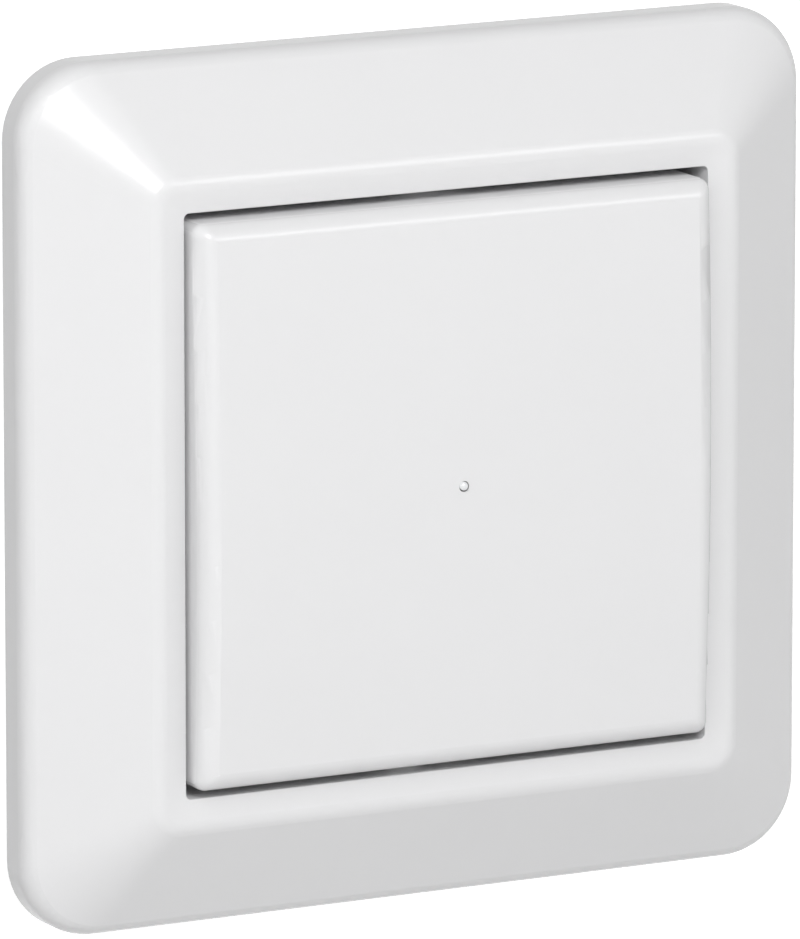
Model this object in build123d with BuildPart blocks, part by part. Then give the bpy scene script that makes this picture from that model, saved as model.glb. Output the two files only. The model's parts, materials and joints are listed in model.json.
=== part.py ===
from build123d import *
import math
import os

os.makedirs("parts", exist_ok=True)

# Smart light switch for a round wall box, in millimetres.
# The wall is the XZ plane, +Z is up and the front of the switch faces -Y.
# A height is measured forward from the wall, so a negative one lies inside the wall box.

# Cover frame
frame_size = 84.0
frame_corner = 7.5
shoulder_height = 3.7
ring_height = 10.3
ring_width = 2.87
ring_dish = 0.3
ring_corner = 2.3
opening_size = 56.2
opening_corner = 0.55
frame_wall = 2.0
collar_wall = 1.6
shoulder_round = 2.3
ring_round = 2.3
lip_round = 0.1
frame_rib = 1.2
frame_rib_pitch = 44.0
frame_gap = 0.3
latch_width = 7.0
latch_pitch = 34.0
latch_thickness = 1.2
latch_nose = 0.6
latch_gap = 0.3
latch_play = 0.1
screw_head_width = 10.0
screw_head_room = 1.6

# Rocker
side_gap = 0.45
end_gap = 0.9
rocker_top = 13.35
rocker_foot = 5.0
crown_radius = 500.0
rocker_corner = 1.1
rocker_edge = 1.85
rocker_wall = 1.8
rocker_rib = 1.0
rocker_rib_pitch = 22.0
clip_width = 5.0
clip_pitch = 26.0
clip_thickness = 1.2
clip_nose = 0.6
clip_nose_height = 0.9
clip_gap = 0.05

# Indicator
lens_radius = 0.525
lens_proud = 0.3
lens_flange_radius = 1.6
lens_flange = 0.8
guide_radius = 1.4
guide_flange_radius = 2.4
guide_flange = 0.8
guide_fit = 0.05
led_width = 2.0
led_length = 1.25
led_height = 0.8
light_gap = 0.3

# Rocker carrier and its pivot
pivot_height = 5.6
carrier_width = 36.0
carrier_corner = 2.0
carrier_thickness = 1.6
carrier_clearance = 1.4
cheek_thickness = 2.0
cheek_radius = 2.2
trunnion_radius = 1.5
trunnion_length = 3.0
trunnion_fit = 0.05
lug_thickness = 3.0
lug_wall = 1.6
lug_gap = 0.3
snap_share = 0.82

# Mounting plate
plate_size = 71.0
plate_thickness = 1.0
plate_corner = 6.0
plate_bore = 41.0
slot_circle_radius = 30.0
slot_width = 4.2
slot_length = 8.0
ranging_hole = 3.0
ranging_inset = 6.5
screw_hole_gap = 0.2
bead_length = 10.0
bead_width = 1.6
bead_height = 0.5
bead_pitch = 27.0
bead_inset = 2.0

# Front casing
casing_size = 63.0
casing_corner = 3.0
casing_thickness = 2.0
post_radius = 1.8
post_pitch_x = 26.0
post_pitch_z = 18.0
bushing_wall = 1.6
bushing_height = 1.8
shade_wall = 1.0
shade_gap = 1.5

# Rear casing
rear_width = 44.0
rear_length = 43.0
corner_reach = 5.5
rear_depth = 28.0
rear_wall = 1.6
rear_chamfer = 1.2
rear_edge = 2.0
rim_width = 1.0
rim_depth = 2.0
boss_radius = 2.4
boss_length = 9.5
ledge_size = 2.4
ledge_pitch = 16.0
vent_length = 8.0
vent_width = 1.2
vent_pitch = 2.8
vent_column_pitch = 14.0
vent_rows = 4

# Casing screws
screw_inset = 3.65
screw_radius = 1.1
screw_length = 9.2
screw_head_radius = 2.0
screw_head = 1.2
screw_fit = 0.02
head_gap = 0.15
cross_width = 0.6
cross_length = 2.4
cross_depth = 0.7

# Plungers, springs and switch bodies
plunger_inset = 5.0
switch_wall_gap = 1.4
plunger_radius = 1.35
plunger_fit = 0.05
plunger_flange_radius = 1.9
plunger_flange = 0.8
plunger_travel = 0.8
plunger_gap = 0.1
plunger_tip = 0.5
travel_reserve = 0.2
spring_radius = 1.4
spring_wire_radius = 0.2
spring_turns = 4
spring_seat_gap = 0.02
spigot_radius = 0.8
spigot_length = 1.2
switch_size = 7.0
switch_floor = 0.8
switch_bore_gap = 0.25
switch_edge = 0.4

# Boards and what they carry
control_board_depth = 6.0
control_board_thickness = 1.2
main_board_depth = 14.0
main_board_thickness = 1.6
board_gap = 0.3
radio_width = 16.0
radio_length = 12.0
radio_board_thickness = 0.8
radio_place = 8.0
shield_margin = 1.0
shield_height = 2.0
shield_sheet = 0.3
header_width = 15.6
header_length = 2.5
header_place = -6.0
header_pins = 6
header_pitch = 2.54
header_pin = 0.64
header_base = 2.5

# Parts on the back of the main board
relay_width = 19.0
relay_length = 10.0
relay_height = 9.6
relay_shift = 0.0
relay_inset = 1.4
film_width = 13.0
film_length = 5.0
film_height = 8.5
film_shift = -11.0
can_radius = 4.0
can_height = 9.5
can_shift = 4.5
coil_radius = 3.2
coil_height = 7.5
coil_shift = 13.5
coil_flange = 1.0
coil_waist = 0.8
disc_radius = 3.6
disc_thickness = 3.0
disc_shift = -13.5
fuse_radius = 1.6
fuse_length = 8.0
fuse_shift = 11.0
part_edge = 0.5
part_gap = 1.0

# Terminals
terminal_count = 4
terminal_pitch = 8.6
terminal_gap = 0.15
block_length = 10.4
block_depth = 10.6
block_wall = 1.2
entry_width = 3.8
entry_length = 4.2
cage_width = 6.4
cage_length = 7.8
cage_depth = 7.0
cage_set_back = 2.0
window_width = 4.4
window_length = 4.6
window_sill = 1.9
leg_width = 3.0
leg_thickness = 0.8
clamp_screw_radius = 1.45
clamp_head_radius = 2.0
clamp_head = 1.6
clamp_slot = 0.6
clamp_slot_depth = 0.7
clamp_fit = 0.05
access_radius = 2.4
funnel = 0.4
panel_margin = 1.2
panel_recess = 0.5
separator = 1.0

# Sizes that follow from the ones above
ring_size = opening_size + 2 * ring_width
crest_height = ring_height + ring_dish
slope_ratio = (crest_height - shoulder_height) / ((frame_size - ring_size) / 2)
slope_drop = frame_wall * math.hypot(1, slope_ratio)
frame_ceiling = ring_height - frame_wall
cavity_size = frame_size - 2 * frame_wall
cavity_shoulder = shoulder_height + frame_wall * slope_ratio - slope_drop
cavity_ring = frame_size - 2 * (frame_ceiling - shoulder_height + slope_drop) / slope_ratio
collar_size = opening_size + 2 * collar_wall
casing_top = plate_thickness + casing_thickness
ranging_pitch = plate_size - 2 * ranging_inset

rocker_width = opening_size - 2 * side_gap
rocker_length = opening_size - 2 * end_gap
crown_drop = crown_radius - math.sqrt(crown_radius**2 - (rocker_length / 2) ** 2)
rocker_ceiling = rocker_top - rocker_wall
carrier_foot = pivot_height + carrier_clearance
carrier_top = carrier_foot + carrier_thickness
plunger_pitch = rear_length - 2 * (rear_wall + switch_wall_gap) - switch_size
carrier_length = plunger_pitch + 2 * plunger_inset
lug_start = carrier_width / 2 + lug_gap
lug_radius = trunnion_radius + lug_wall
plunger_top = carrier_foot - plunger_gap
flange_top = plate_thickness - plunger_travel - travel_reserve
flange_foot = flange_top - plunger_flange
switch_bore = plunger_flange_radius + switch_bore_gap
switch_floor_height = switch_floor - control_board_depth
led_top = led_height - control_board_depth
guide_top = rocker_ceiling - lens_flange - light_gap
rear_round = rear_length / 2 + corner_reach
screw_pitch = math.sqrt(2) * (rear_round - screw_inset)
main_board_back = main_board_depth + main_board_thickness
block_width = terminal_count * terminal_pitch + block_wall
block_floor = rear_wall + terminal_gap - rear_length / 2
block_top = block_floor + block_length
cage_floor = block_floor + clamp_head + 2 * terminal_gap
cage_top = cage_floor + cage_length
window_floor = cage_floor + window_sill
terminal_row = window_floor + window_length / 2
relay_place = (relay_shift, rear_length / 2 - rear_wall - relay_inset - relay_length / 2)
middle_row = relay_place[1] - relay_length / 2 - part_gap - can_radius
film_place = (film_shift, middle_row)
can_place = (can_shift, middle_row)
coil_place = (coil_shift, middle_row)
disc_place = (disc_shift, block_top + part_gap + disc_thickness / 2)
fuse_place = (fuse_shift, block_top + part_gap + fuse_radius)
clamp_depth = main_board_back + cage_set_back + cage_depth / 2


def facing(height):
    """The plane parallel to the wall at this height, looking out of the wall."""
    return Plane.XZ.offset(height)


def rear_outline(inset):
    """The rear casing's outline, a rectangle with its corners cut by a circle."""
    Rectangle(rear_width - 2 * inset, rear_length - 2 * inset)
    Circle(rear_round - inset, mode=Mode.INTERSECT)


def write(builder, name):
    """Label a finished piece and write its file."""
    builder.part.label = name
    export_step(builder.part, f"parts/{name}.step")


# The hollow behind the cover frame, with the collar and the ribs left standing in it
rib_foot = plate_thickness + frame_gap
rib_length = cavity_size / 2 - opening_size / 2
with BuildPart() as frame_hollow:
    with BuildSketch(facing(0)):
        RectangleRounded(cavity_size, cavity_size, frame_corner - frame_wall)
    extrude(amount=cavity_shoulder)
    with BuildSketch(facing(cavity_shoulder)):
        RectangleRounded(cavity_size, cavity_size, frame_corner - frame_wall)
    with BuildSketch(facing(frame_ceiling)):
        RectangleRounded(cavity_ring, cavity_ring, ring_corner)
    loft()
    with BuildSketch(facing(casing_top)):
        Rectangle(collar_size, collar_size)
    extrude(amount=ring_height, mode=Mode.SUBTRACT)
    with BuildSketch(facing(rib_foot)):
        with PolarLocations(0, 4):
            with Locations((cavity_size / 2, 0)):
                with GridLocations(0, frame_rib_pitch, 1, 2):
                    Rectangle(2 * rib_length - collar_wall, frame_rib)
    extrude(amount=ring_height, mode=Mode.SUBTRACT)
    with BuildSketch(facing(0)):
        RectangleRounded(casing_size + 2 * frame_gap, casing_size + 2 * frame_gap, casing_corner)
    extrude(amount=casing_top)
    with BuildSketch(facing(casing_top)):
        with PolarLocations(slot_circle_radius, 4):
            Rectangle(screw_head_width, screw_head_width)
    extrude(amount=screw_head_room)

# Cover frame: one moulding with sloped sides, a ring that falls toward the opening and four latches
with BuildPart() as cover_frame:
    with BuildSketch(facing(0)):
        RectangleRounded(frame_size, frame_size, frame_corner)
    extrude(amount=shoulder_height)
    with BuildSketch(facing(shoulder_height)):
        RectangleRounded(frame_size, frame_size, frame_corner)
    with BuildSketch(facing(crest_height)):
        RectangleRounded(ring_size, ring_size, ring_corner)
    loft()
    with BuildSketch(facing(ring_height)):
        RectangleRounded(opening_size, opening_size, opening_corner)
    with BuildSketch(facing(crest_height)):
        RectangleRounded(ring_size, ring_size, ring_corner)
    loft(mode=Mode.SUBTRACT)
    crest = cover_frame.edges().filter_by_position(Axis.Y, -crest_height, -crest_height)
    fillet(crest, ring_round)
    shoulder = cover_frame.edges().filter_by_position(Axis.Y, -shoulder_height, -shoulder_height)
    fillet(shoulder, shoulder_round)
    add(frame_hollow.part, mode=Mode.SUBTRACT)
    with BuildSketch(facing(0)):
        RectangleRounded(opening_size, opening_size, opening_corner)
    extrude(amount=ring_height, mode=Mode.SUBTRACT)
    lip = cover_frame.edges().filter_by_position(Axis.Y, -ring_height, -ring_height)
    fillet(lip, lip_round)
    latch_foot = plate_thickness + frame_gap
    latch_outer = collar_size / 2
    latch_inner = latch_outer - latch_thickness
    nose_top = latch_foot + latch_nose
    for place in (-latch_pitch / 2, latch_pitch / 2):
        with BuildSketch(Plane.XY.offset(place)):
            with BuildLine():
                Polyline(
                    (latch_inner, -casing_top - latch_nose),
                    (latch_inner, -latch_foot),
                    (latch_outer, -latch_foot),
                    (latch_outer + latch_nose, -nose_top + latch_nose / 4),
                    (latch_outer + latch_nose, -nose_top),
                    (latch_outer, -nose_top),
                    (latch_outer, -casing_top - latch_nose),
                    close=True,
                )
            make_face()
            mirror(about=Plane.YZ)
        extrude(amount=latch_width / 2, both=True)

# Rocker: a crowned cap with a skirt, ribs that rest on the carrier and four clips
rocker_inner_width = rocker_width - 2 * rocker_wall
rocker_inner_length = rocker_length - 2 * rocker_wall
edge_height = rocker_top - crown_drop
inner_drop = crown_drop * (rocker_inner_length / rocker_length) ** 2
with BuildPart() as rocker:
    with BuildSketch(Plane.YZ):
        with BuildLine():
            crown = ThreePointArc(
                (-edge_height, -rocker_length / 2),
                (-rocker_top, 0),
                (-edge_height, rocker_length / 2),
            )
            Polyline(
                crown @ 1,
                (-rocker_foot, rocker_length / 2),
                (-rocker_foot, -rocker_length / 2),
                crown @ 0,
            )
        make_face()
    extrude(amount=rocker_width / 2, both=True)
    fillet(rocker.edges().filter_by(Axis.Y), rocker_corner)
    fillet(rocker.faces().sort_by(Axis.Y)[0].edges(), rocker_edge)
    with BuildSketch(Plane.YZ):
        with BuildLine():
            vault = ThreePointArc(
                (inner_drop - rocker_ceiling, -rocker_inner_length / 2),
                (-rocker_ceiling, 0),
                (inner_drop - rocker_ceiling, rocker_inner_length / 2),
            )
            Polyline(
                vault @ 1,
                (-rocker_foot, rocker_inner_length / 2),
                (-rocker_foot, -rocker_inner_length / 2),
                vault @ 0,
            )
        make_face()
    extrude(amount=rocker_inner_width / 2, both=True, mode=Mode.SUBTRACT)
    with BuildSketch(facing(carrier_top)):
        with GridLocations(rocker_rib_pitch, 0, 2, 1):
            Rectangle(rocker_rib, rocker_inner_length + rocker_wall)
        with GridLocations(0, rocker_rib_pitch, 1, 2):
            Rectangle(rocker_inner_width + rocker_wall, rocker_rib)
    extrude(amount=rocker_ceiling - carrier_top + rocker_wall / 4)
    clip_inner = carrier_width / 2 + lug_gap
    clip_foot = carrier_foot - clip_nose_height
    for place in (-clip_pitch / 2, clip_pitch / 2):
        with BuildSketch(Plane.XY.offset(place)):
            with BuildLine():
                Polyline(
                    (clip_inner, -rocker_ceiling - rocker_wall / 4),
                    (clip_inner, -carrier_foot + clip_gap),
                    (clip_inner - lug_gap - clip_nose, -carrier_foot + clip_gap),
                    (clip_inner, -clip_foot),
                    (clip_inner + clip_thickness, -clip_foot),
                    (clip_inner + clip_thickness, -rocker_ceiling - rocker_wall / 4),
                    close=True,
                )
            make_face()
            mirror(about=Plane.YZ)
        extrude(amount=clip_width / 2, both=True)
    with BuildSketch(facing(rocker_foot)):
        Circle(lens_radius)
    extrude(amount=rocker_top, mode=Mode.SUBTRACT)

# Indicator lens: a clear stud through the middle of the rocker, domed in front
lens_shoulder = rocker_top - lens_proud / 4
lens_apex = rocker_top + lens_proud
with BuildPart() as indicator_lens:
    with BuildSketch(Plane.XY):
        with BuildLine():
            dome = ThreePointArc(
                (0, -lens_apex),
                (lens_radius * 0.72, -lens_apex + (lens_apex - lens_shoulder) * 0.31),
                (lens_radius, -lens_shoulder),
            )
            Polyline(
                dome @ 1,
                (lens_radius, -rocker_ceiling),
                (lens_flange_radius, -rocker_ceiling),
                (lens_flange_radius, -rocker_ceiling + lens_flange),
                (0, -rocker_ceiling + lens_flange),
                dome @ 0,
            )
        make_face()
    revolve(axis=Axis.Y)

# Rocker carrier: the cradle that tilts on two trunnions and presses the plungers
with BuildPart() as rocker_carrier:
    with BuildSketch(facing(carrier_foot)):
        RectangleRounded(carrier_width, carrier_length, carrier_corner)
        Circle(guide_flange_radius + lug_wall, mode=Mode.SUBTRACT)
        with GridLocations(carrier_width / 2, carrier_length / 2.4, 2, 2):
            RectangleRounded(carrier_width / 4, carrier_length / 4, carrier_corner, mode=Mode.SUBTRACT)
    extrude(amount=carrier_thickness)
    with BuildSketch(Plane.YZ.offset(carrier_width / 2 - cheek_thickness)):
        with Locations((-pivot_height, 0)):
            Circle(cheek_radius)
        with Locations((-(pivot_height + carrier_foot) / 2, 0)):
            Rectangle(carrier_clearance, 2 * cheek_radius)
    extrude(amount=cheek_thickness)
    with BuildSketch(Plane.YZ.offset(carrier_width / 2)):
        with Locations((-pivot_height, 0)):
            Circle(trunnion_radius)
    extrude(amount=trunnion_length)
    mirror(about=Plane.YZ)

# Mounting plate: pressed steel, slotted for the box screws
with BuildPart() as mounting_plate:
    with BuildSketch(facing(0)):
        RectangleRounded(plate_size, plate_size, plate_corner)
        Circle(plate_bore / 2, mode=Mode.SUBTRACT)
        with PolarLocations(slot_circle_radius, 4):
            SlotOverall(slot_length, slot_width, mode=Mode.SUBTRACT)
        with GridLocations(screw_pitch, screw_pitch, 2, 2):
            Circle(screw_radius + screw_hole_gap, mode=Mode.SUBTRACT)
        with GridLocations(ranging_pitch, ranging_pitch, 2, 2):
            Circle(ranging_hole / 2, mode=Mode.SUBTRACT)
    extrude(amount=plate_thickness)
    for start, mode in ((0, Mode.SUBTRACT), (plate_thickness, Mode.ADD)):
        with BuildSketch(facing(start)):
            with PolarLocations(plate_size / 2 - bead_inset, 4):
                with GridLocations(0, bead_pitch, 1, 2):
                    SlotOverall(bead_length, bead_width, rotation=90)
        extrude(amount=bead_height, mode=mode)

# Front casing: the insulating front of the module, with lugs, guides and board posts
with BuildPart() as front_casing:
    with BuildSketch(facing(plate_thickness)):
        RectangleRounded(casing_size, casing_size, casing_corner)
        with PolarLocations(slot_circle_radius, 4):
            Rectangle(screw_head_width, screw_head_width, mode=Mode.SUBTRACT)
    extrude(amount=casing_thickness)
    window_reach = latch_thickness + latch_nose + 2 * latch_gap
    with BuildSketch(facing(plate_thickness)):
        with GridLocations(collar_size + latch_nose - latch_thickness, latch_pitch, 2, 2):
            Rectangle(window_reach, latch_width + 2 * latch_gap)
    extrude(amount=nose_top - plate_thickness + latch_play, mode=Mode.SUBTRACT)
    with BuildSketch(facing(plate_thickness)):
        with GridLocations(collar_size - latch_thickness, latch_pitch, 2, 2):
            Rectangle(latch_thickness + latch_play, latch_width + 2 * latch_gap)
    extrude(amount=casing_thickness, mode=Mode.SUBTRACT)
    with BuildSketch(facing(casing_top)):
        with GridLocations(0, plunger_pitch, 1, 2):
            Circle(plunger_radius + bushing_wall)
    extrude(amount=bushing_height)
    for side in (1, -1):
        with BuildSketch(Plane.YZ.offset(side * lug_start)):
            with Locations((-pivot_height, 0)):
                Circle(lug_radius)
            with Locations((-(casing_top + pivot_height) / 2, 0)):
                Rectangle(pivot_height - casing_top, 2 * lug_radius)
            with Locations((-pivot_height, 0)):
                Circle(trunnion_radius + trunnion_fit, mode=Mode.SUBTRACT)
            with Locations((-pivot_height - lug_radius / 2, 0)):
                Rectangle(lug_radius, 2 * trunnion_radius * snap_share, mode=Mode.SUBTRACT)
        extrude(amount=side * lug_thickness)
    with BuildSketch(facing(plate_thickness)):
        with GridLocations(post_pitch_x, post_pitch_z, 2, 2):
            Circle(post_radius)
    extrude(amount=-plate_thickness - control_board_depth)
    with BuildSketch(facing(plate_thickness)):
        Circle(guide_radius + guide_fit + shade_wall)
    extrude(amount=led_top + shade_gap - plate_thickness)
    with BuildSketch(facing(casing_top + bushing_height)):
        Circle(guide_radius + guide_fit)
        with GridLocations(0, plunger_pitch, 1, 2):
            Circle(plunger_radius + plunger_fit)
    extrude(amount=-casing_top - bushing_height - control_board_depth, mode=Mode.SUBTRACT)
    with Locations(facing(casing_top)):
        with GridLocations(screw_pitch, screw_pitch, 2, 2):
            CounterBoreHole(
                radius=screw_radius + screw_fit,
                counter_bore_radius=screw_head_radius + head_gap,
                counter_bore_depth=screw_head + head_gap,
                depth=casing_thickness,
            )

# Light guide: carries the light from the board to the back of the lens
with BuildPart() as light_guide:
    with BuildSketch(facing(led_top + light_gap)):
        Circle(guide_radius)
    extrude(amount=guide_top - led_top - light_gap)
    with BuildSketch(facing(casing_top)):
        Circle(guide_flange_radius)
    extrude(amount=guide_flange)

# Rear casing: the part of the module that lies in the wall box
terminal_span = terminal_pitch * (terminal_count - 1)
ledge_place = rear_width / 2 - rear_wall - ledge_size / 2
with BuildPart() as rear_casing:
    with BuildSketch(facing(0)):
        rear_outline(0)
    extrude(amount=-rear_depth)
    fillet(rear_casing.edges().filter_by(Axis.Y), rear_edge)
    chamfer(rear_casing.faces().sort_by(Axis.Y)[-1].edges(), rear_chamfer)
    with BuildSketch(facing(0)):
        rear_outline(-rim_width)
    extrude(amount=-rim_depth)
    with BuildSketch(facing(0)):
        rear_outline(rear_wall)
    extrude(amount=rear_wall - rear_depth, mode=Mode.SUBTRACT)
    with BuildSketch(facing(0)):
        with GridLocations(screw_pitch, screw_pitch, 2, 2):
            Circle(boss_radius)
    extrude(amount=-boss_length)
    with BuildSketch(facing(0)):
        with GridLocations(screw_pitch, screw_pitch, 2, 2):
            Circle(screw_radius + screw_fit)
    extrude(amount=plate_thickness - screw_length, mode=Mode.SUBTRACT)
    with BuildSketch(facing(-main_board_back)):
        with GridLocations(2 * ledge_place, ledge_pitch, 2, 2):
            Rectangle(ledge_size, ledge_size)
    extrude(amount=main_board_back - rear_depth + rear_wall)
    with BuildSketch(facing(-rear_depth)):
        with Locations((0, terminal_row)):
            Rectangle(terminal_span + entry_width + 2 * panel_margin, entry_length + 2 * panel_margin)
            with GridLocations(terminal_pitch, 0, terminal_count - 1, 1):
                Rectangle(separator, entry_length + 2 * panel_margin, mode=Mode.SUBTRACT)
    extrude(amount=panel_recess, mode=Mode.SUBTRACT)
    with BuildSketch(facing(-rear_depth)):
        with Locations((0, terminal_row)):
            with GridLocations(terminal_pitch, 0, terminal_count, 1):
                Rectangle(entry_width, entry_length)
        with Locations((0, relay_place[1])):
            with GridLocations(vent_column_pitch, vent_pitch, 2, vent_rows):
                SlotOverall(vent_length, vent_width)
    extrude(amount=rear_wall, mode=Mode.SUBTRACT)
    panel_floor = rear_depth - panel_recess
    panel_edges = rear_casing.edges().filter_by_position(Axis.Y, panel_floor, panel_floor)
    chamfer(panel_edges.filter_by(lambda edge: edge.length < entry_length + funnel), funnel)
    with BuildSketch(Plane.XY.offset(-rear_length / 2)):
        with Locations((0, clamp_depth)):
            with GridLocations(terminal_pitch, 0, terminal_count, 1):
                Circle(access_radius)
    extrude(amount=rear_wall, mode=Mode.SUBTRACT)

# Casing screws: four pan heads that draw front casing, plate and rear casing together
screw_seat = casing_top - screw_head - head_gap
with BuildPart() as casing_screws:
    with BuildSketch(facing(screw_seat)):
        with GridLocations(screw_pitch, screw_pitch, 2, 2):
            Circle(screw_head_radius)
    extrude(amount=screw_head)
    with BuildSketch(facing(screw_seat)):
        with GridLocations(screw_pitch, screw_pitch, 2, 2):
            Circle(screw_radius)
    extrude(amount=-screw_length)
    with BuildSketch(facing(screw_seat + screw_head)):
        with GridLocations(screw_pitch, screw_pitch, 2, 2):
            Rectangle(cross_length, cross_width)
            Rectangle(cross_width, cross_length)
    extrude(amount=-cross_depth, mode=Mode.SUBTRACT)


def make_plunger(name, place):
    """A plunger with a rounded tip, a retaining flange and a spigot for its spring."""
    with BuildPart() as plunger:
        with BuildSketch(facing(flange_foot)):
            with Locations((0, place)):
                Circle(plunger_flange_radius)
        extrude(amount=plunger_flange)
        with BuildSketch(facing(flange_foot)):
            with Locations((0, place)):
                Circle(plunger_radius)
        extrude(amount=plunger_top - flange_foot)
        fillet(plunger.faces().sort_by(Axis.Y)[0].edges(), plunger_tip)
        with BuildSketch(facing(flange_foot)):
            with Locations((0, place)):
                Circle(spigot_radius)
        extrude(amount=-spigot_length)
    write(plunger, name)


def make_spring(name, place):
    """The coil spring that pushes a plunger out of its switch body."""
    start = switch_floor_height + spring_wire_radius + spring_seat_gap
    end = flange_foot - spring_wire_radius - spring_seat_gap
    length = end - start
    with BuildPart() as spring:
        with BuildLine() as coil:
            Helix(
                pitch=length / spring_turns,
                height=length,
                radius=spring_radius,
                center=(0, -start, place),
                direction=(0, -1, 0),
            )
        with BuildSketch(Plane(origin=coil.line @ 0, z_dir=coil.line % 0)):
            Circle(spring_wire_radius)
        sweep(is_frenet=True)
    write(spring, name)


def make_switch_body(name, place):
    """The switch body on the control board, bored for the plunger and its spring."""
    with BuildPart() as body:
        with BuildSketch(facing(-control_board_depth)):
            with Locations((0, place)):
                Rectangle(switch_size, switch_size)
        extrude(amount=control_board_depth + plate_thickness)
        chamfer(body.edges().filter_by(Axis.Y), switch_edge)
        with BuildSketch(facing(switch_floor_height)):
            with Locations((0, place)):
                Circle(switch_bore)
        extrude(amount=control_board_depth + plate_thickness, mode=Mode.SUBTRACT)
    write(body, name)


for level, place in (("upper", plunger_pitch / 2), ("lower", -plunger_pitch / 2)):
    make_plunger(f"{level}_plunger", place)
    make_spring(f"{level}_spring", place)
    make_switch_body(f"{level}_switch_body", place)

# Control board: behind the front casing, with the indicator and the two switches
board_inset = rear_wall + board_gap
with BuildPart() as control_board:
    with BuildSketch(facing(-control_board_depth)):
        rear_outline(board_inset)
        with GridLocations(screw_pitch, screw_pitch, 2, 2):
            Circle(boss_radius + board_gap, mode=Mode.SUBTRACT)
    extrude(amount=-control_board_thickness)

with BuildPart() as indicator_led:
    with BuildSketch(facing(-control_board_depth)):
        Rectangle(led_width, led_length)
    extrude(amount=led_height)

# Radio module: a small board with a folded screening can
control_board_back = control_board_depth + control_board_thickness
radio_back = control_board_back + radio_board_thickness
with BuildPart() as radio_board:
    with BuildSketch(facing(-control_board_back)):
        with Locations((0, radio_place)):
            Rectangle(radio_width, radio_length)
    extrude(amount=-radio_board_thickness)

with BuildPart() as radio_shield:
    with BuildSketch(facing(-radio_back)):
        with Locations((0, radio_place)):
            Rectangle(radio_width - 2 * shield_margin, radio_length - 2 * shield_margin)
    extrude(amount=-shield_height)
    offset(amount=-shield_sheet, openings=radio_shield.faces().sort_by(Axis.Y)[0])

# Header: joins the control board to the main board
header_span = main_board_depth - control_board_back
with BuildPart() as board_header:
    with BuildSketch(facing(-control_board_back)):
        with Locations((0, header_place)):
            Rectangle(header_width, header_length)
    extrude(amount=-header_base)
    with BuildSketch(facing(-main_board_depth)):
        with Locations((0, header_place)):
            Rectangle(header_width, header_length)
    extrude(amount=header_base)
    with BuildSketch(facing(-control_board_back)):
        with Locations((0, header_place)):
            with GridLocations(header_pitch, 0, header_pins, 1):
                Rectangle(header_pin, header_pin)
    extrude(amount=-header_span)

# Main board: carries the power parts, and lies on the ledges of the rear casing
leg_place = cage_top - leg_thickness / 2
with BuildPart() as main_board:
    with BuildSketch(facing(-main_board_depth)):
        rear_outline(board_inset)
        with Locations((0, leg_place)):
            with GridLocations(terminal_pitch, 0, terminal_count, 1):
                Rectangle(leg_width + board_gap, leg_thickness + board_gap, mode=Mode.SUBTRACT)
    extrude(amount=-main_board_thickness)

with BuildPart() as relay:
    with BuildSketch(facing(-main_board_back)):
        with Locations(relay_place):
            Rectangle(relay_width, relay_length)
    extrude(amount=-relay_height)
    fillet(relay.edges().filter_by(Axis.Y), part_edge)
    chamfer(relay.faces().sort_by(Axis.Y)[-1].edges(), part_edge)

with BuildPart() as film_capacitor:
    with BuildSketch(facing(-main_board_back)):
        with Locations(film_place):
            Rectangle(film_width, film_length)
    extrude(amount=-film_height)
    chamfer(film_capacitor.faces().sort_by(Axis.Y)[-1].edges(), part_edge)

with BuildPart() as can_capacitor:
    with BuildSketch(facing(-main_board_back)):
        with Locations(can_place):
            Circle(can_radius)
    extrude(amount=-can_height)
    fillet(can_capacitor.faces().sort_by(Axis.Y)[-1].edges(), part_edge)

with BuildPart() as choke:
    with BuildSketch(facing(-main_board_back)):
        with Locations(coil_place):
            Circle(coil_radius)
    extrude(amount=-coil_height)
    with BuildSketch(facing(-main_board_back - coil_flange)):
        with Locations(coil_place):
            Circle(coil_radius)
            Circle(coil_radius - coil_waist, mode=Mode.SUBTRACT)
    extrude(amount=2 * coil_flange - coil_height, mode=Mode.SUBTRACT)

with BuildPart() as varistor:
    with BuildSketch(Plane.XY.offset(disc_place[1])):
        with Locations((disc_place[0], main_board_back + disc_radius)):
            Circle(disc_radius)
    extrude(amount=disc_thickness / 2, both=True)
    fillet(varistor.edges().filter_by(GeomType.CIRCLE), part_edge)

with BuildPart() as fuse:
    with BuildSketch(Plane.YZ.offset(fuse_place[0])):
        with Locations((main_board_back + fuse_radius, fuse_place[1])):
            Circle(fuse_radius)
    extrude(amount=fuse_length / 2, both=True)

# Terminal block: an insulating body with a pocket for each clamping cage
block_place = (block_top + block_floor) / 2
cage_place = (cage_top + cage_floor) / 2
with BuildPart() as terminal_block:
    with BuildSketch(facing(-main_board_back)):
        with Locations((0, block_place)):
            Rectangle(block_width, block_top - block_floor)
        Circle(rear_round - board_inset, mode=Mode.INTERSECT)
    extrude(amount=-block_depth)
    with BuildSketch(facing(-main_board_back)):
        with Locations((0, cage_place)):
            with GridLocations(terminal_pitch, 0, terminal_count, 1):
                Rectangle(cage_width + 2 * terminal_gap, cage_top - cage_floor + 2 * terminal_gap)
    extrude(amount=block_wall - block_depth, mode=Mode.SUBTRACT)
    with BuildSketch(facing(-main_board_back)):
        with Locations((0, terminal_row)):
            with GridLocations(terminal_pitch, 0, terminal_count, 1):
                Rectangle(entry_width, entry_length)
    extrude(amount=-block_depth, mode=Mode.SUBTRACT)
    with BuildSketch(Plane.XY.offset(block_floor)):
        with Locations((0, clamp_depth)):
            with GridLocations(terminal_pitch, 0, terminal_count, 1):
                Circle(clamp_head_radius + terminal_gap)
    extrude(amount=cage_floor - block_floor, mode=Mode.SUBTRACT)

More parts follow.
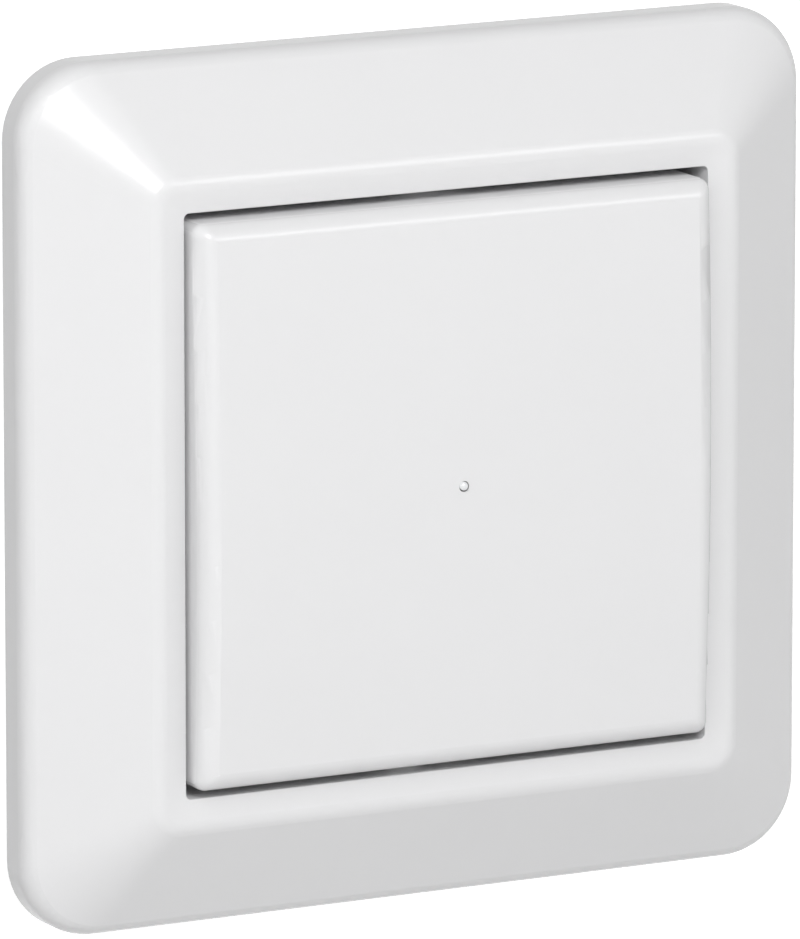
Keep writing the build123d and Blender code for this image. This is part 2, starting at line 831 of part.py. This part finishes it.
# Terminal cages: a bent brass loop at each wire entry, with a leg through the board
with BuildPart() as terminal_cages:
    with BuildSketch(facing(-main_board_back - cage_set_back)):
        with GridLocations(terminal_pitch, 0, terminal_count, 1):
            with Locations((0, cage_place)):
                Rectangle(cage_width, cage_top - cage_floor)
            with Locations((0, terminal_row)):
                Rectangle(window_width, window_length, mode=Mode.SUBTRACT)
    extrude(amount=-cage_depth)
    with BuildSketch(facing(-main_board_back - cage_set_back)):
        with GridLocations(terminal_pitch, 0, terminal_count, 1):
            with Locations((0, leg_place)):
                Rectangle(leg_width, leg_thickness)
    extrude(amount=cage_set_back + main_board_thickness)
    with BuildSketch(Plane.XY.offset(cage_floor)):
        with Locations((0, clamp_depth)):
            with GridLocations(terminal_pitch, 0, terminal_count, 1):
                Circle(clamp_screw_radius + clamp_fit)
    extrude(amount=window_sill, mode=Mode.SUBTRACT)

# Terminal screws: slotted heads that are reached through the side of the rear casing
with BuildPart() as terminal_screws:
    with BuildSketch(Plane.XY.offset(cage_floor - terminal_gap)):
        with Locations((0, clamp_depth)):
            with GridLocations(terminal_pitch, 0, terminal_count, 1):
                Circle(clamp_head_radius)
    extrude(amount=-clamp_head)
    with BuildSketch(Plane.XY.offset(cage_floor - terminal_gap)):
        with Locations((0, clamp_depth)):
            with GridLocations(terminal_pitch, 0, terminal_count, 1):
                Circle(clamp_screw_radius)
    extrude(amount=window_sill)
    with BuildSketch(Plane.XY.offset(cage_floor - terminal_gap - clamp_head)):
        with Locations((0, clamp_depth)):
            with GridLocations(terminal_pitch, 0, terminal_count, 1):
                Rectangle(2 * clamp_head_radius, clamp_slot)
    extrude(amount=clamp_slot_depth, mode=Mode.SUBTRACT)

write(cover_frame, "cover_frame")
write(rocker, "rocker")
write(indicator_lens, "indicator_lens")
write(rocker_carrier, "rocker_carrier")
write(mounting_plate, "mounting_plate")
write(front_casing, "front_casing")
write(light_guide, "light_guide")
write(rear_casing, "rear_casing")
write(casing_screws, "casing_screws")
write(control_board, "control_board")
write(indicator_led, "indicator_led")
write(radio_board, "radio_board")
write(radio_shield, "radio_shield")
write(board_header, "board_header")
write(main_board, "main_board")
write(relay, "relay")
write(film_capacitor, "film_capacitor")
write(can_capacitor, "can_capacitor")
write(choke, "choke")
write(varistor, "varistor")
write(fuse, "fuse")
write(terminal_block, "terminal_block")
write(terminal_cages, "terminal_cages")
write(terminal_screws, "terminal_screws")
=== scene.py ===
import bmesh
import bpy
import json
import math
from mathutils import Matrix, Vector


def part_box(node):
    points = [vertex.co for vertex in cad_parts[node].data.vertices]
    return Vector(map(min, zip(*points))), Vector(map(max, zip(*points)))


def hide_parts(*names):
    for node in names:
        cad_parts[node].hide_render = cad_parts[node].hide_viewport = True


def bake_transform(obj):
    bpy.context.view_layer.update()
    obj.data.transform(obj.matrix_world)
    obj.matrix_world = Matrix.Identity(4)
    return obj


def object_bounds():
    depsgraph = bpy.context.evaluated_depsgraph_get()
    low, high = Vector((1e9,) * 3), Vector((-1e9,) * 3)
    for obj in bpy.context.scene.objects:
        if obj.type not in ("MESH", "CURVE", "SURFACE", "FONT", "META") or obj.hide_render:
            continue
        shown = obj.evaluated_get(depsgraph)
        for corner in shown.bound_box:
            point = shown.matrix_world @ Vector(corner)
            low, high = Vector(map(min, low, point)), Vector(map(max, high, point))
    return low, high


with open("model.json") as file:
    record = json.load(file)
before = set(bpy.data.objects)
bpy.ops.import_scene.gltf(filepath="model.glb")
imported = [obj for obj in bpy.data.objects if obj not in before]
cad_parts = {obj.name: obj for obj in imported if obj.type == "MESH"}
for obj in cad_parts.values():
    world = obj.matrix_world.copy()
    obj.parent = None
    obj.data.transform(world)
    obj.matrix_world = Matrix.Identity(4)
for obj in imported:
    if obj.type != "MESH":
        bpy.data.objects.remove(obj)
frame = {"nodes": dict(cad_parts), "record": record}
cad_low, cad_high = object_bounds()
nodes = frame["nodes"]
slot_of = {row["node"]: row["material_slot"] for row in frame["record"]["subparts"]}
scene = bpy.context.scene
scene.view_settings.view_transform = "Standard"


def box_of(name):
    """The low and the high corner of a node's box, in metres."""
    return [Vector(corner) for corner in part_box(name)]


class Wiring:
    """The nodes of one material or of the world, and the links between them."""

    def __init__(self, tree):
        self.parts = tree.nodes
        self.links = tree.links

    def feed(self, socket, value):
        """Link a node's output to the socket, or set the socket to a constant."""
        if isinstance(value, bpy.types.NodeSocket):
            self.links.new(value, socket)
        else:
            socket.default_value = value

    def place(self):
        """Where a point lies, in metres along the frame's own axes."""
        return self.parts.new("ShaderNodeTexCoord").outputs["Object"]

    def axes(self):
        """The same place as three outputs, named X, Y and Z."""
        split = self.parts.new("ShaderNodeSeparateXYZ")
        self.feed(split.inputs["Vector"], self.place())
        return split.outputs

    def number(self, operation, first, second=0.0):
        """One step of arithmetic with numbers."""
        step = self.parts.new("ShaderNodeMath")
        step.operation = operation
        self.feed(step.inputs[0], first)
        self.feed(step.inputs[1], second)
        return step.outputs["Value"]

    def vector_step(self, operation, first, second):
        """One step of arithmetic with places, whose output is a Vector or a Value."""
        step = self.parts.new("ShaderNodeVectorMath")
        step.operation = operation
        self.feed(step.inputs[0], first)
        self.feed(step.inputs[1], second)
        return step.outputs

    def distance(self, place, centre):
        """How far a place lies from a centre."""
        return self.vector_step("DISTANCE", place, centre)["Value"]

    def ramp(self, value, start, end, low=0.0, high=1.0):
        """From low to high while the value goes from start to end, and level outside."""
        span = self.parts.new("ShaderNodeMapRange")
        self.feed(span.inputs["From Min"], start)
        self.feed(span.inputs["From Max"], end)
        self.feed(span.inputs["To Min"], low)
        self.feed(span.inputs["To Max"], high)
        self.feed(span.inputs["Value"], value)
        return span.outputs["Result"]

    def noise(self, place, scale, detail):
        """A cloudy pattern between zero and one."""
        cloud = self.parts.new("ShaderNodeTexNoise")
        self.feed(cloud.inputs["Scale"], scale)
        self.feed(cloud.inputs["Detail"], detail)
        self.feed(cloud.inputs["Vector"], place)
        return cloud.outputs["Fac"]

    def mix(self, kind, factor, first, second):
        """The first of two colours or numbers where the factor is zero, the second where it is one."""
        mixed = self.parts.new("ShaderNodeMix")
        mixed.data_type = kind
        self.feed(mixed.inputs["Factor"], factor)
        self.feed(mixed.inputs["A"], first)
        self.feed(mixed.inputs["B"], second)
        return mixed.outputs["Result"]

    def seen_rays(self):
        """One for camera, glossy and transmission rays, and zero for the rays that light the object."""
        path = self.parts.new("ShaderNodeLightPath").outputs
        mirrored = self.number("MAXIMUM", path["Is Glossy Ray"], path["Is Transmission Ray"])
        return self.number("MAXIMUM", path["Is Camera Ray"], mirrored)


class Finish(Wiring):
    """A material with its Principled shader."""

    def __init__(self, name):
        self.name = name
        self.material = bpy.data.materials.new(name)
        self.material.use_nodes = True
        super().__init__(self.material.node_tree)
        self.shader = self.parts["Principled BSDF"]

    def drive(self, name, value):
        """Feed one of the shader's own sockets."""
        self.feed(self.shader.inputs[name], value)

    def driver_of(self, name):
        """The output that feeds one of the shader's sockets so far."""
        return self.shader.inputs[name].links[0].from_socket

    def tint_where(self, factor, colour):
        """Mix a colour into the finish's own where the factor is one."""
        self.drive("Base Color", self.mix("RGBA", factor, self.driver_of("Base Color"), (*colour, 1.0)))


# Finishes
DRIFT_SCALE = 60.0
STREAK_SCALE = 4000.0
GRAIN_SCALE = 9000.0
GRAIN_HEIGHT = 0.00002
PLASTIC_IOR = 1.49


def uneven(finish, pattern, colour, roughness, fade, spread):
    """Colour and gloss that vary with a pattern: the colour down to a fade, the gloss by a spread."""
    faded = [channel * fade for channel in colour]
    finish.drive("Base Color", finish.mix("RGBA", pattern, (*colour, 1.0), (*faded, 1.0)))
    rough = finish.ramp(pattern, 0.0, 1.0, roughness * (1.0 - spread), roughness * (1.0 + spread))
    finish.drive("Roughness", rough)


def plastic(name, colour, roughness, grain=0.0):
    """Moulded plastic: faint colour drift, uneven gloss, and a fine grain where it is left matt."""
    finish = Finish(name)
    place = finish.place()
    drift = finish.noise(place, DRIFT_SCALE, detail=3.0)
    uneven(finish, drift, colour, roughness, fade=0.985, spread=0.08)
    finish.drive("IOR", PLASTIC_IOR)
    if grain:
        bump = finish.parts.new("ShaderNodeBump")
        finish.feed(bump.inputs["Strength"], grain)
        finish.feed(bump.inputs["Distance"], GRAIN_HEIGHT)
        finish.feed(bump.inputs["Height"], finish.noise(place, GRAIN_SCALE, detail=2.0))
        finish.drive("Normal", bump.outputs["Normal"])
    return finish


def metal(name, colour, roughness, stretch=(1.0, 1.0, 1.0)):
    """Worked metal: streaked gloss and a faint tint."""
    finish = Finish(name)
    turn = finish.parts.new("ShaderNodeMapping")
    finish.feed(turn.inputs["Scale"], stretch)
    finish.feed(turn.inputs["Vector"], finish.place())
    streaks = finish.noise(turn.outputs["Vector"], STREAK_SCALE, detail=4.0)
    uneven(finish, streaks, colour, roughness, fade=0.88, spread=0.25)
    finish.drive("Metallic", 1.0)
    return finish


WHITE = (0.80, 0.80, 0.807)
finishes = {finish.name: finish for finish in (
    plastic("frame_white", WHITE, 0.23),
    plastic("rocker_white", WHITE, 0.21),
    plastic("lens_clear", (0.80, 0.81, 0.82), 0.10),
    plastic("casing_white", (0.74, 0.74, 0.72), 0.45, 0.5),
    plastic("casing_grey", (0.28, 0.29, 0.30), 0.48, 0.6),
    metal("plate_steel", (0.60, 0.61, 0.62), 0.30, (1.0, 1.0, 0.05)),
    metal("screw_steel", (0.62, 0.62, 0.63), 0.22),
    metal("spring_steel", (0.45, 0.46, 0.48), 0.25),
    plastic("plunger_white", (0.78, 0.78, 0.76), 0.38, 0.3),
    plastic("switch_black", (0.02, 0.02, 0.02), 0.45, 0.5),
    plastic("board_green", (0.012, 0.085, 0.03), 0.22, 0.3),
    plastic("led_white", (0.80, 0.76, 0.50), 0.30),
    metal("shield_tin", (0.70, 0.71, 0.72), 0.28),
    plastic("relay_blue", (0.03, 0.08, 0.26), 0.35, 0.3),
    plastic("film_grey", (0.30, 0.31, 0.33), 0.35, 0.3),
    plastic("can_sleeve", (0.012, 0.016, 0.03), 0.25),
    plastic("ferrite", (0.04, 0.04, 0.04), 0.55, 0.6),
    plastic("disc_blue", (0.02, 0.09, 0.30), 0.30),
    plastic("fuse_body", (0.60, 0.56, 0.44), 0.32),
    plastic("terminal_grey", (0.16, 0.17, 0.18), 0.42, 0.4),
    metal("terminal_brass", (0.72, 0.53, 0.22), 0.25),
)}

# Painted shade on the ring round the opening: it sets in a little behind its crest
RING_BAND = 0.00025
RING_FADE = 0.0003
SHADE_REACH = 0.005
SHADE_STRENGTH = 0.2
HALF_OPEN = 0.5
FULLY_OPEN = 1.0


def paint_ring_shade(finish):
    """Painted shade: a darker tone on the ring, strongest beside the rocker, which stands out further
    and closes off the air.
    """
    full = -box_of("cover_frame")[0].y - RING_BAND
    forward = finish.number("MULTIPLY", finish.axes()["Y"], -1.0)
    on_ring = finish.ramp(forward, full - RING_FADE, full)
    air = finish.parts.new("ShaderNodeAmbientOcclusion")
    finish.feed(air.inputs["Distance"], SHADE_REACH)
    shade = finish.ramp(air.outputs["AO"], HALF_OPEN, FULLY_OPEN, SHADE_STRENGTH, 0.0)
    # Black mixed into the ring's colour: painted shade where the rocker closes off the open air
    finish.tint_where(finish.number("MULTIPLY", on_ring, shade), (0.0, 0.0, 0.0))


# Sides of the rocker, behind the rounding of its edge
SIDE_MARGIN = 0.00003
SIDE_FADE = 0.00004
SIDE_ROUGHNESS = 0.65
SIDE_SPECULAR = 0.1
PLAIN_SPECULAR = 0.5


def matt_sides(finish):
    """The rocker's sides are left matt from the mould."""
    half = box_of("rocker")[1]
    axes = finish.axes()
    reach = []
    for axis, edge in (("X", half.x - SIDE_MARGIN), ("Z", half.z - SIDE_MARGIN)):
        reach.append(finish.ramp(finish.number("ABSOLUTE", axes[axis]), edge - SIDE_FADE, edge))
    side = finish.number("MAXIMUM", *reach)
    finish.drive("Roughness", finish.mix("FLOAT", side, finish.driver_of("Roughness"), SIDE_ROUGHNESS))
    finish.drive("Specular IOR Level", finish.ramp(side, 0.0, 1.0, PLAIN_SPECULAR, SIDE_SPECULAR))


# Painted shade crescent in the lens, whose own middle lies where X and Z are zero
LENS_SHADE_CENTRE = (-0.00011, 0.0, 0.00008)
LENS_SHADE_INNER = 0.00038
LENS_SHADE_OUTER = 0.00044
LENS_SHADE_GREY = (0.05, 0.05, 0.05)
ALONG_WALL = (1.0, 0.0, 1.0)


def paint_lens_shade(finish):
    """Painted shade: a dark grey crescent along the lens's lower right rim, for the dome's shaded side
    and the dark of its hole.
    """
    flat = finish.vector_step("MULTIPLY", finish.place(), ALONG_WALL)["Vector"]
    away = finish.distance(flat, LENS_SHADE_CENTRE)
    # The grey is painted shade, laid along the rim on the side away from the light
    finish.tint_where(finish.ramp(away, LENS_SHADE_INNER, LENS_SHADE_OUTER), LENS_SHADE_GREY)


paint_ring_shade(finishes["frame_white"])
matt_sides(finishes["rocker_white"])
paint_lens_shade(finishes["lens_clear"])
for name, node in nodes.items():
    node.data.materials.clear()
    node.data.materials.append(finishes[slot_of[name]].material)

# Springs, copied with their points merged and shaded smooth
MERGE_DISTANCE = 1e-7


def working_spring(name):
    """A coil that stands on the switch body, as a smooth-shaded copy of the part with its points
    merged.
    """
    mesh = nodes[name].data.copy()
    work = bmesh.new()
    work.from_mesh(mesh)
    bmesh.ops.remove_doubles(work, verts=work.verts, dist=MERGE_DISTANCE)
    work.to_mesh(mesh)
    work.free()
    mesh.attributes.remove(mesh.attributes["custom_normal"])
    mesh.shade_smooth()
    coil = bpy.data.objects.new(name + "_coil", mesh)
    scene.collection.objects.link(coil)
    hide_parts(name)
    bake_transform(coil)


working_spring("upper_spring")
working_spring("lower_spring")

# World: white where the camera, a reflection or clear plastic looks past the object
AMBIENT = 0.11
PURE_WHITE = 1.0


def studio_world():
    """A dim even light on the object, in front of a white background."""
    world = bpy.data.worlds.new("studio")
    world.use_nodes = True
    sky = Wiring(world.node_tree)
    sky.parts.clear()
    blend = sky.parts.new("ShaderNodeMixShader")
    sky.feed(blend.inputs["Fac"], sky.seen_rays())
    for socket, strength in ((1, AMBIENT), (2, PURE_WHITE)):
        light = sky.parts.new("ShaderNodeBackground")
        sky.feed(light.inputs["Color"], (1.0, 1.0, 1.0, 1.0))
        sky.feed(light.inputs["Strength"], strength)
        sky.feed(blend.inputs[socket], light.outputs["Background"])
    sky.feed(sky.parts.new("ShaderNodeOutputWorld").inputs["Surface"], blend.outputs["Shader"])
    scene.world = world


studio_world()

# Floor: pale, pure white toward its edge, and clear from below
FLOOR_DROP = 0.058
FLOOR_REACH = 6.0
FLOOR_COLOUR = (0.8, 0.8, 0.8, 1.0)
NEAR_GLOW = 0.72
NEAR_REACH = 0.6
FAR_REACH = 2.0


def pale_finish():
    """A matt floor that glows for the rays that are seen, and keeps the object's shadow."""
    pale = Finish("floor_pale")
    pale.drive("Base Color", FLOOR_COLOUR)
    pale.drive("Roughness", 0.9)
    pale.drive("Specular IOR Level", 0.0)
    away = pale.distance(pale.place(), (0.0, 0.0, 0.0))
    level = pale.ramp(away, NEAR_REACH, FAR_REACH, NEAR_GLOW, PURE_WHITE)
    glow = pale.parts.new("ShaderNodeEmission")
    pale.feed(glow.inputs["Strength"], pale.number("MULTIPLY", level, pale.seen_rays()))
    total = pale.parts.new("ShaderNodeAddShader")
    pale.feed(total.inputs[0], pale.shader.outputs["BSDF"])
    pale.feed(total.inputs[1], glow.outputs["Emission"])
    clear = pale.parts.new("ShaderNodeBsdfTransparent")
    one_sided = pale.parts.new("ShaderNodeMixShader")
    pale.feed(one_sided.inputs["Fac"], pale.parts.new("ShaderNodeNewGeometry").outputs["Backfacing"])
    pale.feed(one_sided.inputs[1], total.outputs["Shader"])
    pale.feed(one_sided.inputs[2], clear.outputs["BSDF"])
    pale.feed(pale.parts["Material Output"].inputs["Surface"], one_sided.outputs["Shader"])
    return pale.material


def pale_floor():
    """A wide level floor a little way under the frame."""
    mesh = bpy.data.meshes.new("floor")
    sheet = bmesh.new()
    level = Matrix.Translation((0.0, 0.0, cad_low.z - FLOOR_DROP))
    bmesh.ops.create_grid(sheet, x_segments=1, y_segments=1, size=FLOOR_REACH, matrix=level)
    sheet.to_mesh(mesh)
    sheet.free()
    mesh.materials.append(pale_finish())
    floor = bpy.data.objects.new("floor", mesh)
    scene.collection.objects.link(floor)


pale_floor()

# Lamps
LAMP_DISTANCE = 1.2


def soft_light(name, direction, size, power, distance=LAMP_DISTANCE):
    """A square soft light in this direction from the object, aimed at it."""
    data = bpy.data.lights.new(name, "AREA")
    data.shape = "SQUARE"
    data.size = size
    data.energy = power
    lamp = bpy.data.objects.new(name, data)
    lamp.location = Vector(direction).normalized() * distance
    lamp.rotation_euler = (-lamp.location).to_track_quat("-Z", "Y").to_euler()
    scene.collection.objects.link(lamp)
    return lamp


soft_light("key", (-0.255, -0.815, 0.516), size=0.35, power=7.4)
soft_light("up_left", (-0.55, -0.60, 0.58), size=0.8, power=2.8)
soft_light("up_front", (0.05, -0.80, 0.60), size=0.8, power=1.6)
soft_light("left", (-0.98, -0.15, 0.10), size=1.0, power=1.7)
soft_light("right", (0.85, -0.50, 0.10), size=1.0, power=1.6)

# A lamp behind the wall's plane, kept out of reflections
rear = soft_light("rear", (0.10, 1.0, 0.12), size=0.8, power=8.0, distance=1.4)
rear.visible_glossy = False

# A soft panel that only reflections show, for the light line along the upper rounded edges
top_panel = soft_light("top_panel", (0.459, -0.817, 0.349), size=0.3, power=1.0)
top_panel.visible_diffuse = False

# Camera, fitted to the edges of the photographed frame
CAMERA_AZIMUTH = math.radians(27.924)
CAMERA_ELEVATION = math.radians(11.426)
CAMERA_DISTANCE = 1.073594
CAMERA_TARGET = Vector((0.000185, 0.0, -0.000756))
FOCAL_PIXELS = 11192.2
PICTURE_HEIGHT = 939
SENSOR = 36.0


def photo_camera():
    """The camera at the photograph's viewing angle."""
    back = Vector((
        -math.sin(CAMERA_AZIMUTH) * math.cos(CAMERA_ELEVATION),
        -math.cos(CAMERA_AZIMUTH) * math.cos(CAMERA_ELEVATION),
        math.sin(CAMERA_ELEVATION),
    ))
    data = bpy.data.cameras.new("camera")
    data.sensor_width = SENSOR
    data.lens = FOCAL_PIXELS * SENSOR / PICTURE_HEIGHT
    data.clip_start = 0.01
    data.clip_end = 50.0
    camera = bpy.data.objects.new("camera", data)
    camera.location = CAMERA_TARGET + back * CAMERA_DISTANCE
    camera.rotation_euler = (-back).to_track_quat("-Z", "Y").to_euler()
    scene.collection.objects.link(camera)
    scene.camera = camera


photo_camera()
